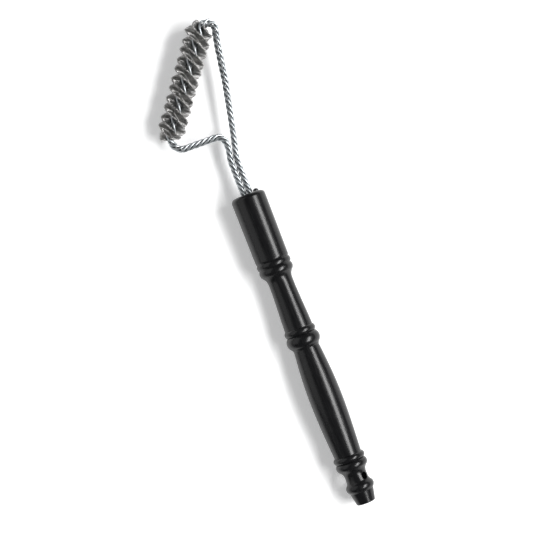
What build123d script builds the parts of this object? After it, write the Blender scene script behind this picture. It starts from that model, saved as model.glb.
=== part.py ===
from build123d import *
from math import asin, cos, degrees, pi, radians, sin
import os

# Bristle-free grill brush: a turned handle, a triangle of twisted wire rope, and two scrubbing
# coils caught in the rope's far side. Design frame, in mm: the origin is the centre of the
# handle's mouth face, +Y runs to the head, +X to the brush's right and +Z is up. At the end the
# brush is laid down as it rests on a table.

# Handle, as distances from the mouth face towards the butt, and radii
HANDLE_LENGTH = 303.6
MOUTH_RADIUS = 16.3
MOUTH_ROUND = 4.0
BUTT_RADIUS = 9.1
BUTT_ROUND = 1.3
SOCKET_DIAMETER = 12.2
SOCKET_DEPTH = 38.0
HANG_HOLE_FROM_MOUTH = 278.8
HANG_HOLE_DIAMETER = 7.0
HANG_HOLE_TILT = 50.0

# Locking peg in the mouth face
PEG_OFFSET = 8.9
PEG_SHANK_DIAMETER = 4.2
PEG_SHANK_LENGTH = 14.0
PEG_HEAD_DIAMETER = 5.4
PEG_HEAD_HEIGHT = 2.9
PEG_CLEARANCE = 0.04

# Core wires: four wires twisted left-hand round the frame's centre line
WIRE_COUNT = 4
WIRE_RADIUS = 1.12
STEM_OFFSET = 2.95
STEM_DEPTH = 36.0
STEM_HELIX = 1.8
ARM_HELIX = 2.25
APEX_HELIX = 2.8
FOOT_HELIX = 2.15
HEAD_OUTER_HELIX = 3.55
HEAD_INNER_HELIX = 1.3
ROPE_LAY = 22.8
HEAD_LAY = 36.4
ROPE_PHASE = 15.0
WIRE_SPANS = 32
POINTS_PER_SPAN = 4

# The frame's centre line: each corner, and the radius that rounds it
FRAME_ROUTE = [
    ((STEM_OFFSET, 34.0), 40.0),
    ((11.9, 72.0), 60.0),
    ((19.1, 105.0), 60.0),
    ((24.2, 136.0), 60.0),
    ((29.3, 160.4), 6.0),
    ((16.4, 160.4), 9.0),
    ((-49.5, 72.4), 10.0),
    ((-43.8, 60.3), 10.0),
    ((-1.0, 59.0), 8.0),
    ((-0.4, 46.0), 20.0),
    ((-STEM_OFFSET, 34.0), 20.0),
]
HEAD_TOP = Vector(14.3, 157.6)
HEAD_BOTTOM = Vector(-47.1, 75.6)

# Scrubbing coils, as solid bands: each is a flattened coil folded to a V over an inner wire and
# held by the two outer wires, so that the two coils make four arms
COIL_RADIUS = 13.3
COIL_THICKNESS = 1.6
COIL_FOLD = 2.75
COIL_ARM_ANGLE = 40.5
COIL_LENGTH = 97.0

# How far the head's lowest lobe stands to the left of the handle's axis
HEAD_REACH = 44.0


def bead(start, top, end):
    """An arc of the handle's outline through three (distance, radius) points."""
    return ThreePointArc(*[(radius, -distance) for distance, radius in (start, top, end)])


def run(*points, slopes=None):
    """A smooth stretch of the outline through (distance, radius) points."""
    places = [(radius, -distance) for distance, radius in points]
    if slopes is None:
        return Line(*places)
    return Spline(*places, tangents=[(slope, -1) for slope in slopes])


def handle_outline():
    """The turned profile, from the centre of the mouth face round to the centre of the butt."""
    face_radius = MOUTH_RADIUS - MOUTH_ROUND
    flank = MOUTH_ROUND * (1 - sin(radians(45)))
    cone_end = HANDLE_LENGTH - BUTT_ROUND
    return [
        run((0, 0), (0, face_radius)),
        bead((0, face_radius), (flank, MOUTH_RADIUS - flank), (MOUTH_ROUND, MOUTH_RADIUS)),
        run((MOUTH_ROUND, MOUTH_RADIUS), (63.4, 15.9)),
        bead((63.4, 15.9), (64.3, 15.65), (65.0, 15.2)),
        bead((65.0, 15.2), (68.0, 16.3), (70.9, 15.2)),
        bead((70.9, 15.2), (74.3, 16.2), (77.6, 15.0)),
        run((77.6, 15.0), (81.0, 12.5), (87.0, 11.6), slopes=(-1.0, 0.0)),
        run((87.0, 11.6), (108.0, 12.3), (131.4, 13.4), slopes=(0.0, 0.03)),
        bead((131.4, 13.4), (134.5, 14.9), (137.6, 13.5)),
        bead((137.6, 13.5), (143.3, 16.0), (149.0, 13.4)),
        run((149.0, 13.4), (151.2, 12.3)),
        run((151.2, 12.3), (172.0, 14.2), (199.0, 15.3), (228.0, 14.6), (256.4, 12.9), slopes=(0.1, -0.06)),
        bead((256.4, 12.9), (259.4, 15.0), (262.6, 13.3)),
        bead((262.6, 13.3), (266.5, 15.1), (270.0, 13.2)),
        run((270.0, 13.2), (273.2, 10.9), (277.5, 10.4), (281.5, 10.6), (284.6, 12.4), slopes=(-1.0, 0.9)),
        bead((284.6, 12.4), (287.8, 13.4), (290.6, 12.3)),
        run((290.6, 12.3), (292.0, 11.3)),
        run((292.0, 11.3), (cone_end, BUTT_RADIUS)),
        bead(
            (cone_end, BUTT_RADIUS),
            (HANDLE_LENGTH - BUTT_ROUND * 0.3, BUTT_RADIUS - BUTT_ROUND * 0.3),
            (HANDLE_LENGTH, BUTT_RADIUS - BUTT_ROUND),
        ),
        run((HANDLE_LENGTH, BUTT_RADIUS - BUTT_ROUND), (HANDLE_LENGTH, 0)),
        Line((0, -HANDLE_LENGTH), (0, 0)),
    ]


def peg():
    """The peg: a shank down into the mouth face and a low dome on it."""
    shank = PEG_SHANK_DIAMETER / 2
    head = PEG_HEAD_DIAMETER / 2
    brim = PEG_HEAD_HEIGHT * 0.3
    outline = [
        ThreePointArc((0, PEG_HEAD_HEIGHT), (head * 0.7, PEG_HEAD_HEIGHT * 0.8), (head, brim)),
        Line((head, brim), (head, 0)),
        Line((head, 0), (shank, 0)),
        Line((shank, 0), (shank, -PEG_SHANK_LENGTH)),
        Line((shank, -PEG_SHANK_LENGTH), (0, -PEG_SHANK_LENGTH)),
        Line((0, -PEG_SHANK_LENGTH), (0, PEG_HEAD_HEIGHT)),
    ]
    return Pos(PEG_OFFSET, 0, 0) * revolve(make_face(outline), Axis.Y, 360)


def hole(diameter, depth):
    """A blind hole into the mouth face, to be cut away."""
    mouth = Plane(origin=(0, 0, 0), z_dir=(0, 1, 0))
    return mouth * Cylinder(diameter / 2, depth, align=(Align.CENTER, Align.CENTER, Align.MAX))


def handle():
    """The turned grip with its socket, hang hole and peg hole."""
    body = revolve(make_face(handle_outline()), Axis.Y, 360)
    socket = hole(SOCKET_DIAMETER, SOCKET_DEPTH)
    peg_hole = Pos(PEG_OFFSET, 0, 0) * hole(
        PEG_SHANK_DIAMETER + PEG_CLEARANCE, PEG_SHANK_LENGTH + PEG_CLEARANCE
    )
    hang_hole = Plane(origin=(0, -HANG_HOLE_FROM_MOUTH, 0), z_dir=hang_direction()) * Cylinder(
        HANG_HOLE_DIAMETER / 2, 3 * MOUTH_RADIUS
    )
    return body - socket - hang_hole - peg_hole


def hang_direction():
    """The way the hang hole points, out of its upper mouth."""
    return Vector(sin(radians(HANG_HOLE_TILT)), 0, cos(radians(HANG_HOLE_TILT)))


def frame_path():
    """The rope's centre line, from one stem's end round the triangle to the other's."""
    corners = [(STEM_OFFSET, -STEM_DEPTH)] + [corner for corner, _ in FRAME_ROUTE]
    corners.append((-STEM_OFFSET, -STEM_DEPTH))
    return FilletPolyline(*corners, radius=[radius for _, radius in FRAME_ROUTE])


def distance_along(path, point):
    """How far along the path the nearest place to a point is."""
    distances = [path.length * step / 1500 for step in range(1501)]
    return min(distances, key=lambda distance: (path @ (distance / path.length) - point).length)


class Rope:
    """The helix that each core wire follows: its radius and its turn at each distance."""

    def __init__(self):
        self.path = frame_path()
        self.length = self.path.length
        self.head_start = distance_along(self.path, HEAD_TOP)
        self.head_end = distance_along(self.path, HEAD_BOTTOM)
        neck = STEM_DEPTH + 46.0
        ease = 12.0
        self.stations = [
            (0.0, STEM_HELIX, STEM_HELIX),
            (neck, STEM_HELIX, STEM_HELIX),
            (self.head_start - 4 * ease, ARM_HELIX, ARM_HELIX),
            (self.head_start - 1.6 * ease, ARM_HELIX, ARM_HELIX),
            (self.head_start - ease, APEX_HELIX, APEX_HELIX),
            (self.head_start + ease / 6, HEAD_OUTER_HELIX, HEAD_INNER_HELIX),
            (self.head_end - ease / 2, HEAD_OUTER_HELIX, HEAD_INNER_HELIX),
            (self.head_end + ease, FOOT_HELIX, FOOT_HELIX),
            (self.length - neck - ease, FOOT_HELIX, FOOT_HELIX),
            (self.length - neck, STEM_HELIX, STEM_HELIX),
            (self.length, STEM_HELIX, STEM_HELIX),
        ]

    def radius(self, distance, wire):
        """How far the wire stands off the centre line: in the head, every other wire is inside."""
        pair = 1 + wire % 2
        for before, after in zip(self.stations, self.stations[1:]):
            if distance <= after[0]:
                share = (distance - before[0]) / (after[0] - before[0])
                smooth = share * share * (3 - 2 * share)
                return before[pair] + (after[pair] - before[pair]) * smooth
        return STEM_HELIX

    def turn(self, distance):
        """The angle turned from the start, in radians: slower along the head."""
        in_head = min(max(distance - self.head_start, 0), self.head_end - self.head_start)
        return 2 * pi * ((distance - in_head) / ROPE_LAY + in_head / HEAD_LAY)

    def point(self, distance, wire):
        centre = self.path @ (distance / self.length)
        along = self.path % (distance / self.length)
        side = Vector(along.Y, -along.X, 0)
        angle = radians(ROPE_PHASE + 360 * wire / WIRE_COUNT) + self.turn(distance)
        radius = self.radius(distance, wire)
        return centre + side * (radius * cos(angle)) + Vector(0, 0, radius * sin(angle))

    def direction(self, distance, wire):
        before = self.point(max(distance - 0.05, 0), wire)
        after = self.point(min(distance + 0.05, self.length), wire)
        return (after - before).normalized()


def core_wire(rope, wire):
    """One wire of the rope, swept span by span and closed into one solid."""
    skins = []
    span = rope.length / WIRE_SPANS
    for number in range(WIRE_SPANS):
        start = number * span
        distances = [start + span * step / POINTS_PER_SPAN for step in range(POINTS_PER_SPAN + 1)]
        places = [rope.point(distance, wire) for distance in distances]
        ends = [rope.direction(start, wire), rope.direction(start + span, wire)]
        line = Spline(*places, tangents=ends)
        section = Plane(origin=line @ 0, z_dir=line % 0) * Circle(WIRE_RADIUS)
        faces = sweep(section, path=line).faces().sort_by(lambda face: face.area)
        skins.append(faces[-1])
        caps = faces[:-1].sort_by(lambda face: (face.center() - line @ 0).length)
        if number == 0:
            skins.append(caps[0])
        if number == WIRE_SPANS - 1:
            skins.append(caps[-1])
    return Solid(Shell(skins))


def coil_band(rope, side_angle):
    """A flattened coil: a V-shaped band, twisted with the rope, on one side of its axis."""
    along = (HEAD_BOTTOM - HEAD_TOP).normalized()
    start = (HEAD_TOP + HEAD_BOTTOM) * 0.5 - along * (COIL_LENGTH / 2)
    side = Vector(along.Y, -along.X, 0)
    angle = radians(ROPE_PHASE + side_angle) + rope.turn(distance_along(rope.path, start))
    place = Plane(origin=start, x_dir=side * cos(angle) + Vector(0, 0, sin(angle)), z_dir=along)
    reach = COIL_RADIUS * cos(radians(COIL_ARM_ANGLE))
    spread = COIL_RADIUS * sin(radians(COIL_ARM_ANGLE))
    thick = COIL_THICKNESS
    outline = Polyline(
        (COIL_FOLD, 0),
        (reach, spread),
        (reach + thick / 2, spread - thick),
        (COIL_FOLD + 1.3 * thick, 0),
        (reach + thick / 2, thick - spread),
        (reach, -spread),
        (COIL_FOLD, 0),
    )
    turned = -360 * COIL_LENGTH / HEAD_LAY
    section = place * make_face(outline)
    return Solid.extrude_linear_with_rotation(section.face(), start, along * COIL_LENGTH, turned)


def lying_down(pieces):
    """The pieces as the brush rests on a table: handle down, and the head's left side down."""
    lean = -degrees(asin((MOUTH_RADIUS - COIL_RADIUS) / HEAD_REACH))
    turned = {name: Rot(0, lean, 0) * piece for name, piece in pieces.items()}
    boxes = [piece.bounding_box() for piece in turned.values()]
    low = [min(box.min.X for box in boxes), min(box.min.Y for box in boxes)]
    high = [max(box.max.X for box in boxes), max(box.max.Y for box in boxes)]
    floor = min(box.min.Z for box in boxes)
    to_origin = Pos(-(low[0] + high[0]) / 2, -(low[1] + high[1]) / 2, -floor)
    return {name: to_origin * piece for name, piece in turned.items()}


def brush():
    """Every piece of the brush, by name."""
    rope = Rope()
    pieces = {
        "handle": handle().solid(),
        "locking_peg": peg().solid(),
        "scrub_coil_1": coil_band(rope, 90),
        "scrub_coil_2": coil_band(rope, -90),
    }
    for wire in range(WIRE_COUNT):
        pieces[f"core_wire_{wire + 1}"] = core_wire(rope, wire)
    return pieces


os.makedirs("parts", exist_ok=True)
for name, piece in lying_down(brush()).items():
    piece.label = name
    export_step(piece, f"parts/{name}.step")
    box = piece.bounding_box()
    print(name, [round(value, 2) for value in (*box.min, *box.max)])
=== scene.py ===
import random
from math import asin, cos, pi, radians, sin

import bmesh
import bpy
from mathutils import Matrix, Vector


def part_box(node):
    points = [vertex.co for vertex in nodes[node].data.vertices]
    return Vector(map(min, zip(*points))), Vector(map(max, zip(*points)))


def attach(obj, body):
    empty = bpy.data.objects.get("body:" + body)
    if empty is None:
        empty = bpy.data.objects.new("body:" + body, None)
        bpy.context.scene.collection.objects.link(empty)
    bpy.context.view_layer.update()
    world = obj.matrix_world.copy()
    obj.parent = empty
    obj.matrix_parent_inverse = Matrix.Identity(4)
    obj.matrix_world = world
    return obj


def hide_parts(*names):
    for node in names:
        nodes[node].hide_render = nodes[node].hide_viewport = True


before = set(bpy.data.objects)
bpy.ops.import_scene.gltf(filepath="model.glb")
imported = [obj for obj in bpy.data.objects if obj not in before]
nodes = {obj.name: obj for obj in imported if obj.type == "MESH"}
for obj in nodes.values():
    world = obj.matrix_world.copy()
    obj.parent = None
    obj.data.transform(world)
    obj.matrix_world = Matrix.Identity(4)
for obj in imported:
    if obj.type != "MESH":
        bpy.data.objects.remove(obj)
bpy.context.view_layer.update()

MM = 0.001

# The brush lies with its handle along +Y and its head's left side down: these are the handle's
# and the head's own measures, in the brush's design frame, from the centre of the mouth face.
HANDLE_RADIUS = 16.3 * MM
COIL_HALF_WIDTH = 13.3 * MM
HEAD_REACH = 44.0 * MM
HEAD_TOP = Vector((14.3, 157.6, 0.0)) * MM
HEAD_BOTTOM = Vector((-47.1, 75.6, 0.0)) * MM
HEAD_LAY = 36.4 * MM
COIL_BAND_LENGTH = 97.0 * MM
HEAD_WAY = (HEAD_BOTTOM - HEAD_TOP).normalized()
BAND_START = (HEAD_TOP + HEAD_BOTTOM) * 0.5 - HEAD_WAY * (COIL_BAND_LENGTH / 2)

handle_low, handle_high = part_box("handle")
mouth = Vector(
    ((handle_low.x + handle_high.x) / 2, handle_high.y, (handle_low.z + handle_high.z) / 2)
)
LEAN = -asin((HANDLE_RADIUS - COIL_HALF_WIDTH) / HEAD_REACH)
lying = Matrix.Translation(mouth) @ Matrix.Rotation(LEAN, 4, "Y")


# ---------------------------------------------------------------- materials


def new_material(name, **settings):
    """A Principled material, with its even values set on the shader's own sockets."""
    material = bpy.data.materials.new(name)
    material.use_nodes = True
    shader = material.node_tree.nodes["Principled BSDF"]
    for socket, value in settings.items():
        shader.inputs[socket.replace("_", " ")].default_value = value
    return material, material.node_tree, shader


def noise(tree, scale, detail=4.0, roughness=0.55, stretch=(1.0, 1.0, 1.0)):
    """Noise over the object's own coordinates, stretched along the axes."""
    place = tree.nodes.new("ShaderNodeTexCoord")
    mapping = tree.nodes.new("ShaderNodeMapping")
    mapping.inputs["Scale"].default_value = stretch
    texture = tree.nodes.new("ShaderNodeTexNoise")
    texture.inputs["Scale"].default_value = scale
    texture.inputs["Detail"].default_value = detail
    texture.inputs["Roughness"].default_value = roughness
    tree.links.new(place.outputs["Object"], mapping.inputs["Vector"])
    tree.links.new(mapping.outputs["Vector"], texture.inputs["Vector"])
    return texture.outputs["Fac"]


def ramp(tree, factor, *stops):
    """A colour ramp through (position, colour) stops."""
    node = tree.nodes.new("ShaderNodeValToRGB")
    elements = node.color_ramp.elements
    while len(elements) < len(stops):
        elements.new(0.5)
    for element, (position, colour) in zip(elements, stops):
        element.position = position
        element.color = (*colour, 1.0)
    tree.links.new(factor, node.inputs["Fac"])
    return node.outputs["Color"]


def spread(tree, factor, low, high):
    """The noise's middle range, mapped to run from low to high."""
    node = tree.nodes.new("ShaderNodeMapRange")
    node.inputs["From Min"].default_value = 0.3
    node.inputs["From Max"].default_value = 0.7
    node.inputs["To Min"].default_value = low
    node.inputs["To Max"].default_value = high
    tree.links.new(factor, node.inputs["Value"])
    return node.outputs["Result"]


def bump(tree, shader, factor, depth, strength):
    node = tree.nodes.new("ShaderNodeBump")
    node.inputs["Distance"].default_value = depth
    node.inputs["Strength"].default_value = strength
    tree.links.new(factor, node.inputs["Height"])
    tree.links.new(node.outputs["Normal"], shader.inputs["Normal"])


def lacquer():
    """Black satin lacquer, with the turned wood's grain faintly in it."""
    material, tree, shader = new_material("black_lacquer", Metallic=0.0, IOR=1.37)
    grain = noise(tree, 90.0, 6.0, 0.6, stretch=(9.0, 0.8, 9.0))
    speckle = noise(tree, 1400.0, 3.0, 0.6)
    tone = ramp(tree, grain, (0.3, (0.003, 0.003, 0.0035)), (0.75, (0.008, 0.008, 0.0085)))
    tree.links.new(tone, shader.inputs["Base Color"])
    tree.links.new(spread(tree, grain, 0.2, 0.3), shader.inputs["Roughness"])
    bump(tree, shader, speckle, 0.0001, 0.4)
    return material


def peg_black():
    material, tree, shader = new_material("black_peg", Metallic=0.0, IOR=1.5, Coat_Weight=0.5)
    cloud = noise(tree, 700.0)
    tone = ramp(tree, cloud, (0.3, (0.006, 0.006, 0.007)), (0.7, (0.014, 0.014, 0.015)))
    tree.links.new(tone, shader.inputs["Base Color"])
    tree.links.new(spread(tree, cloud, 0.14, 0.3), shader.inputs["Roughness"])
    bump(tree, shader, cloud, 0.00003, 0.3)
    return material


def painted_crevice_shade(tree, colour, reach, darkest):
    """The colour, darkened with painted shade where neighbouring wires lie close."""
    # Painted shade: ambient occlusion darkens the colour in the gaps between close wires.
    closeness = tree.nodes.new("ShaderNodeAmbientOcclusion")
    closeness.inputs["Distance"].default_value = reach
    closeness.samples = 8
    shade = ramp(tree, closeness.outputs["AO"], (0.25, (darkest,) * 3), (0.85, (1.0, 1.0, 1.0)))
    blend = tree.nodes.new("ShaderNodeMixRGB")
    blend.blend_type = "MULTIPLY"
    blend.inputs["Fac"].default_value = 1.0
    tree.links.new(colour, blend.inputs["Color1"])
    tree.links.new(shade, blend.inputs["Color2"])
    return blend.outputs["Color"]


def galvanised():
    """Bright drawn wire with a thin zinc coat: a cool grey that varies a little along it, darkened
    with painted shade where neighbouring wires lie close.
    """
    material, tree, shader = new_material(
        "galvanised_wire", Metallic=1.0, Specular_Tint=(0.16, 0.18, 0.19, 1.0)
    )
    cloud = noise(tree, 260.0, 5.0)
    fine = noise(tree, 2600.0, 3.0)
    tone = ramp(tree, cloud, (0.3, (0.38, 0.405, 0.42)), (0.7, (0.56, 0.585, 0.60)))
    # Painted shade: the wire's colour is darkened where neighbouring wires lie close.
    tree.links.new(painted_crevice_shade(tree, tone, 2.2 * MM, 0.07), shader.inputs["Base Color"])
    tree.links.new(spread(tree, cloud, 0.34, 0.46), shader.inputs["Roughness"])
    bump(tree, shader, fine, 0.00004, 0.3)
    return material


def coil_steel():
    """Fine dull stainless wire, browner and darker where it has been worked, and darkened with painted
    shade where neighbouring loops lie close.
    """
    material, tree, shader = new_material(
        "coil_steel", Metallic=1.0, Specular_Tint=(0.4, 0.39, 0.38, 1.0)
    )
    cloud = noise(tree, 420.0, 5.0)
    fine = noise(tree, 3600.0, 2.0)
    tone = ramp(tree, cloud, (0.3, (0.33, 0.325, 0.318)), (0.7, (0.62, 0.612, 0.60)))
    # Painted shade: the coil's colour is darkened where neighbouring loops lie close.
    tree.links.new(painted_crevice_shade(tree, tone, 1.5 * MM, 0.12), shader.inputs["Base Color"])
    tree.links.new(spread(tree, cloud, 0.3, 0.42), shader.inputs["Roughness"])
    bump(tree, shader, fine, 0.00003, 0.3)
    return material


def paper_floor():
    material, tree, shader = new_material(
        "studio_floor", Roughness=0.9, Emission_Color=(1.0, 1.0, 1.0, 1.0), Emission_Strength=0.29
    )
    cloud = noise(tree, 3.0)
    tone = ramp(tree, cloud, (0.3, (0.93, 0.93, 0.93)), (0.7, (0.95, 0.95, 0.95)))
    tree.links.new(tone, shader.inputs["Base Color"])
    return material


def dress(node, material):
    """Give a CAD node's every slot the material."""
    mesh = nodes[node].data
    if not mesh.materials:
        mesh.materials.append(material)
    for index in range(len(mesh.materials)):
        mesh.materials[index] = material


# ---------------------------------------------------------------- scrubbing coils

LOOPS = 168
COIL_FOLD = 3.4 * MM
COIL_ARM_ANGLE = radians(40.5)
FOLD_ROUNDING = 0.22
HALF_THICKNESS_AT_FOLD = 0.75 * MM
HALF_THICKNESS_AT_TIP = 1.25 * MM
SWELL_POWER = 1.4
SLOPE_STEP = 0.01
COIL_WIRE_RADIUS = 0.38 * MM
OVERRUN_AT_TOP = 7.0 * MM
OVERRUN_AT_BOTTOM = 5.5 * MM
BEND_RADIUS = 14.0 * MM
END_TAPER = 0.8
STEPS_ON_STRAND = 9
STEPS_ON_TIP = 4
TUBE_SIDES = 6
REACH_WAVE = 0.035
REACH_JITTER = 0.008
SWING_WAVE = radians(3.0)
LEAN_WAVE = 0.9 * MM
LEAN_JITTER = 0.07 * MM
WAVE_PERIODS = (5.0, 11.0, 23.0)
END_FACE_DEPTH = 0.02 * MM
TIP_SHARE = 0.9


def fold_direction(node):
    """The way that a coil's V opens at its first end, read from the CAD node."""
    vertices = [lying.inverted() @ vertex.co for vertex in nodes[node].data.vertices]
    nearest = min((vertex - BAND_START).dot(HEAD_WAY) for vertex in vertices)
    limit = nearest + END_FACE_DEPTH
    end = [vertex for vertex in vertices if (vertex - BAND_START).dot(HEAD_WAY) < limit]
    across = [vertex - BAND_START - HEAD_WAY * (vertex - BAND_START).dot(HEAD_WAY) for vertex in end]
    reach = max(offset.length for offset in across)
    tips = [offset for offset in across if offset.length > TIP_SHARE * reach]
    return sum(tips, Vector()).normalized()


def loop_outline():
    """One flattened loop folded to a V, as (outward, sideways) places, from a tip and back."""
    tip_out = (COIL_HALF_WIDTH - COIL_WIRE_RADIUS) * cos(COIL_ARM_ANGLE)
    tip_side = (COIL_HALF_WIDTH - COIL_WIRE_RADIUS) * sin(COIL_ARM_ANGLE)

    def middle(share):
        rounded = (share * share + FOLD_ROUNDING**2) ** 0.5 - FOLD_ROUNDING
        full = (1 + FOLD_ROUNDING**2) ** 0.5 - FOLD_ROUNDING
        return Vector((COIL_FOLD + (tip_out - COIL_FOLD) * rounded / full, tip_side * share))

    def offset(share, sign):
        ahead = middle(min(share + SLOPE_STEP, 1.0)) - middle(max(share - SLOPE_STEP, -1.0))
        normal = Vector((ahead.y, -ahead.x)).normalized()
        swell = abs(share) ** SWELL_POWER
        half = HALF_THICKNESS_AT_FOLD + (HALF_THICKNESS_AT_TIP - HALF_THICKNESS_AT_FOLD) * swell
        return middle(share) + normal * half * sign

    inset = HALF_THICKNESS_AT_TIP / (tip_side**2 + (tip_out - COIL_FOLD) ** 2) ** 0.5
    steps = range(STEPS_ON_STRAND + 1)
    reaches = [-1 + inset + (2 - 2 * inset) * step / STEPS_ON_STRAND for step in steps]
    places = [offset(share, 1) for share in reaches]
    places += tip_turn(middle, offset, 1 - inset, 1)
    places += [offset(share, -1) for share in reversed(reaches)]
    places += tip_turn(middle, offset, -1 + inset, -1)
    return places


def tip_turn(middle, offset, share, sign):
    """The round bend at a loop's tip, between its two strands."""
    centre = middle(share)
    arm = offset(share, sign) - centre
    places = []
    for step in range(1, STEPS_ON_TIP):
        places.append(centre + Matrix.Rotation(pi * step / STEPS_ON_TIP, 2) @ arm)
    return places


def wave(dice):
    """A smooth random run of values from about -1 to 1, one for each loop."""
    parts = [(period, dice.uniform(0, 2 * pi)) for period in WAVE_PERIODS]
    return [
        sum(sin(2 * pi * index / period + phase) for period, phase in parts) / len(parts)
        for index in range(LOOPS)
    ]


def head_line(distance):
    """The place on the coils' centre line at a distance from the band's first end, and how far it
    has bent there: straight along the band, and curved with the rope past both its ends."""
    straight = min(max(distance, 0.0), COIL_BAND_LENGTH)
    bend = (distance - straight) / BEND_RADIUS
    left = Vector((0, 0, 1)).cross(HEAD_WAY)
    curve = (HEAD_WAY * sin(bend) + left * (1 - cos(bend))) * BEND_RADIUS
    return BAND_START + HEAD_WAY * straight + curve, bend


def coil_path(node, seed):
    """The centre line of one flattened coil, twisted with the rope."""
    dice = random.Random(seed)
    outward = fold_direction(node)
    outline = loop_outline()
    length = COIL_BAND_LENGTH + OVERRUN_AT_TOP + OVERRUN_AT_BOTTOM
    reach_wave = [wave(dice) for _ in range(2)]
    swing_wave = [wave(dice) for _ in range(2)]
    lean_wave = [wave(dice) for _ in range(2)]
    path = []
    for loop in range(LOOPS):
        jitter = [dice.gauss(0, 1) for _ in range(4)]
        for step, (out, side) in enumerate(outline):
            arm = 0 if side > 0 else 1
            far = min(abs(side) / (COIL_HALF_WIDTH * sin(COIL_ARM_ANGLE)), 1.0)
            drift = (lean_wave[arm][loop] * LEAN_WAVE + jitter[arm] * LEAN_JITTER) * far
            distance = (loop + step / len(outline)) / LOOPS * length - OVERRUN_AT_TOP + drift
            angle = -2 * pi * distance / HEAD_LAY + swing_wave[arm][loop] * SWING_WAVE * far
            out_way = Matrix.Rotation(angle, 3, HEAD_WAY) @ outward
            side_way = HEAD_WAY.cross(out_way)
            stretch = 1 + (reach_wave[arm][loop] * REACH_WAVE + jitter[2 + arm] * REACH_JITTER) * far
            centre, bend = head_line(distance)
            stretch *= 1 - END_TAPER * abs(bend)
            across = Matrix.Rotation(bend, 3, "Z") @ (out_way * out + side_way * side)
            path.append(centre + across * stretch)
    return [lying @ place for place in path]


def tube(name, path, radius):
    """A closed tube mesh along a list of places, carried from each to the next without twist."""
    mesh = bpy.data.meshes.new(name)
    shape = bmesh.new()
    heading = (path[1] - path[0]).normalized()
    normal = heading.orthogonal().normalized()
    rings = []
    for index, place in enumerate(path):
        ahead = path[min(index + 1, len(path) - 1)] - path[max(index - 1, 0)]
        turn = heading.rotation_difference(ahead.normalized())
        heading = ahead.normalized()
        normal = (turn @ normal).normalized()
        other = heading.cross(normal)
        ring = []
        for side in range(TUBE_SIDES):
            angle = 2 * pi * side / TUBE_SIDES
            ring.append(shape.verts.new(place + (normal * cos(angle) + other * sin(angle)) * radius))
        rings.append(ring)
    for first, second in zip(rings, rings[1:]):
        for side in range(TUBE_SIDES):
            after = (side + 1) % TUBE_SIDES
            shape.faces.new((first[side], first[after], second[after], second[side]))
    shape.faces.new(reversed(rings[0]))
    shape.faces.new(rings[-1])
    for face in shape.faces:
        face.smooth = True
    shape.normal_update()
    shape.to_mesh(mesh)
    shape.free()
    piece = bpy.data.objects.new(name, mesh)
    bpy.context.scene.collection.objects.link(piece)
    return piece


def scrubbing_coil(number, material):
    node = f"scrub_coil_{number}"
    piece = tube(f"fine_coil_{number}", coil_path(node, seed=10 + number), COIL_WIRE_RADIUS)
    piece.data.materials.append(material)
    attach(piece, "root")
    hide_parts(node)


# ---------------------------------------------------------------- studio

VIEW_TURN = radians(21.2)
VIEW_WIDTH = 0.4905
CAMERA_HEIGHT = 1.5
SENSOR = 36.0
VIEW_CENTRE = Vector((3.9, 1.4, 16.3)) * MM

image_right = Vector((cos(VIEW_TURN), -sin(VIEW_TURN), 0.0))
image_up = Vector((sin(VIEW_TURN), cos(VIEW_TURN), 0.0))


def camera():
    data = bpy.data.cameras.new("camera")
    data.sensor_width = SENSOR
    data.lens = SENSOR * CAMERA_HEIGHT / VIEW_WIDTH
    data.clip_end = 20.0
    eye = bpy.data.objects.new("camera", data)
    eye.location = VIEW_CENTRE + Vector((0, 0, CAMERA_HEIGHT))
    eye.rotation_euler = (0.0, 0.0, -VIEW_TURN)
    bpy.context.scene.collection.objects.link(eye)
    bpy.context.scene.camera = eye


def softbox(name, rightward, upward, height, width, length, radiance):
    """A rectangle of light that faces the object, placed by the image's right and up."""
    data = bpy.data.lights.new(name, "AREA")
    data.shape = "RECTANGLE"
    data.size = width
    data.size_y = length
    data.energy = radiance * width * length * pi
    lamp = bpy.data.objects.new(name, data)
    place = image_right * rightward + image_up * upward + Vector((0, 0, height))
    lamp.location = place
    toward = -place.normalized()
    side = image_up.cross(-toward).normalized()
    top = (-toward).cross(side)
    lamp.matrix_world = Matrix((
        (side.x, top.x, -toward.x, place.x),
        (side.y, top.y, -toward.y, place.y),
        (side.z, top.z, -toward.z, place.z),
        (0.0, 0.0, 0.0, 1.0),
    ))
    bpy.context.scene.collection.objects.link(lamp)


def floor():
    bpy.ops.mesh.primitive_plane_add(size=8.0, location=(0, 0, 0))
    sheet = bpy.context.object
    sheet.name = "studio_floor"
    sheet.data.materials.append(paper_floor())


def world_light():
    world = bpy.data.worlds.new("studio")
    bpy.context.scene.world = world
    world.use_nodes = True
    background = world.node_tree.nodes["Background"]
    background.inputs["Color"].default_value = (0.95, 0.98, 1.0, 1.0)
    background.inputs["Strength"].default_value = 0.12


# The key light stands to the picture's right, tilted from straight above, and sets the handle's streak
KEY_ANGLE = radians(41)
KEY_DISTANCE = 1.6
KEY_WIDTH = 0.5
KEY_RADIANCE = 17.0

camera()
world_light()
floor()
key_rightward = KEY_DISTANCE * sin(KEY_ANGLE)
key_height = KEY_DISTANCE * cos(KEY_ANGLE)
softbox("key", key_rightward, 0.05, key_height, KEY_WIDTH, 1.5, KEY_RADIANCE)
softbox("fill", -1.5, 0.1, 0.9, 1.6, 2.4, 0.9)
bpy.context.scene.view_settings.view_transform = "Standard"
bpy.context.scene.view_settings.look = "None"

wire_steel = galvanised()
fine_steel = coil_steel()
dress("handle", lacquer())
dress("locking_peg", peg_black())
for wire in range(1, 5):
    dress(f"core_wire_{wire}", wire_steel)
for coil in (1, 2):
    scrubbing_coil(coil, fine_steel)
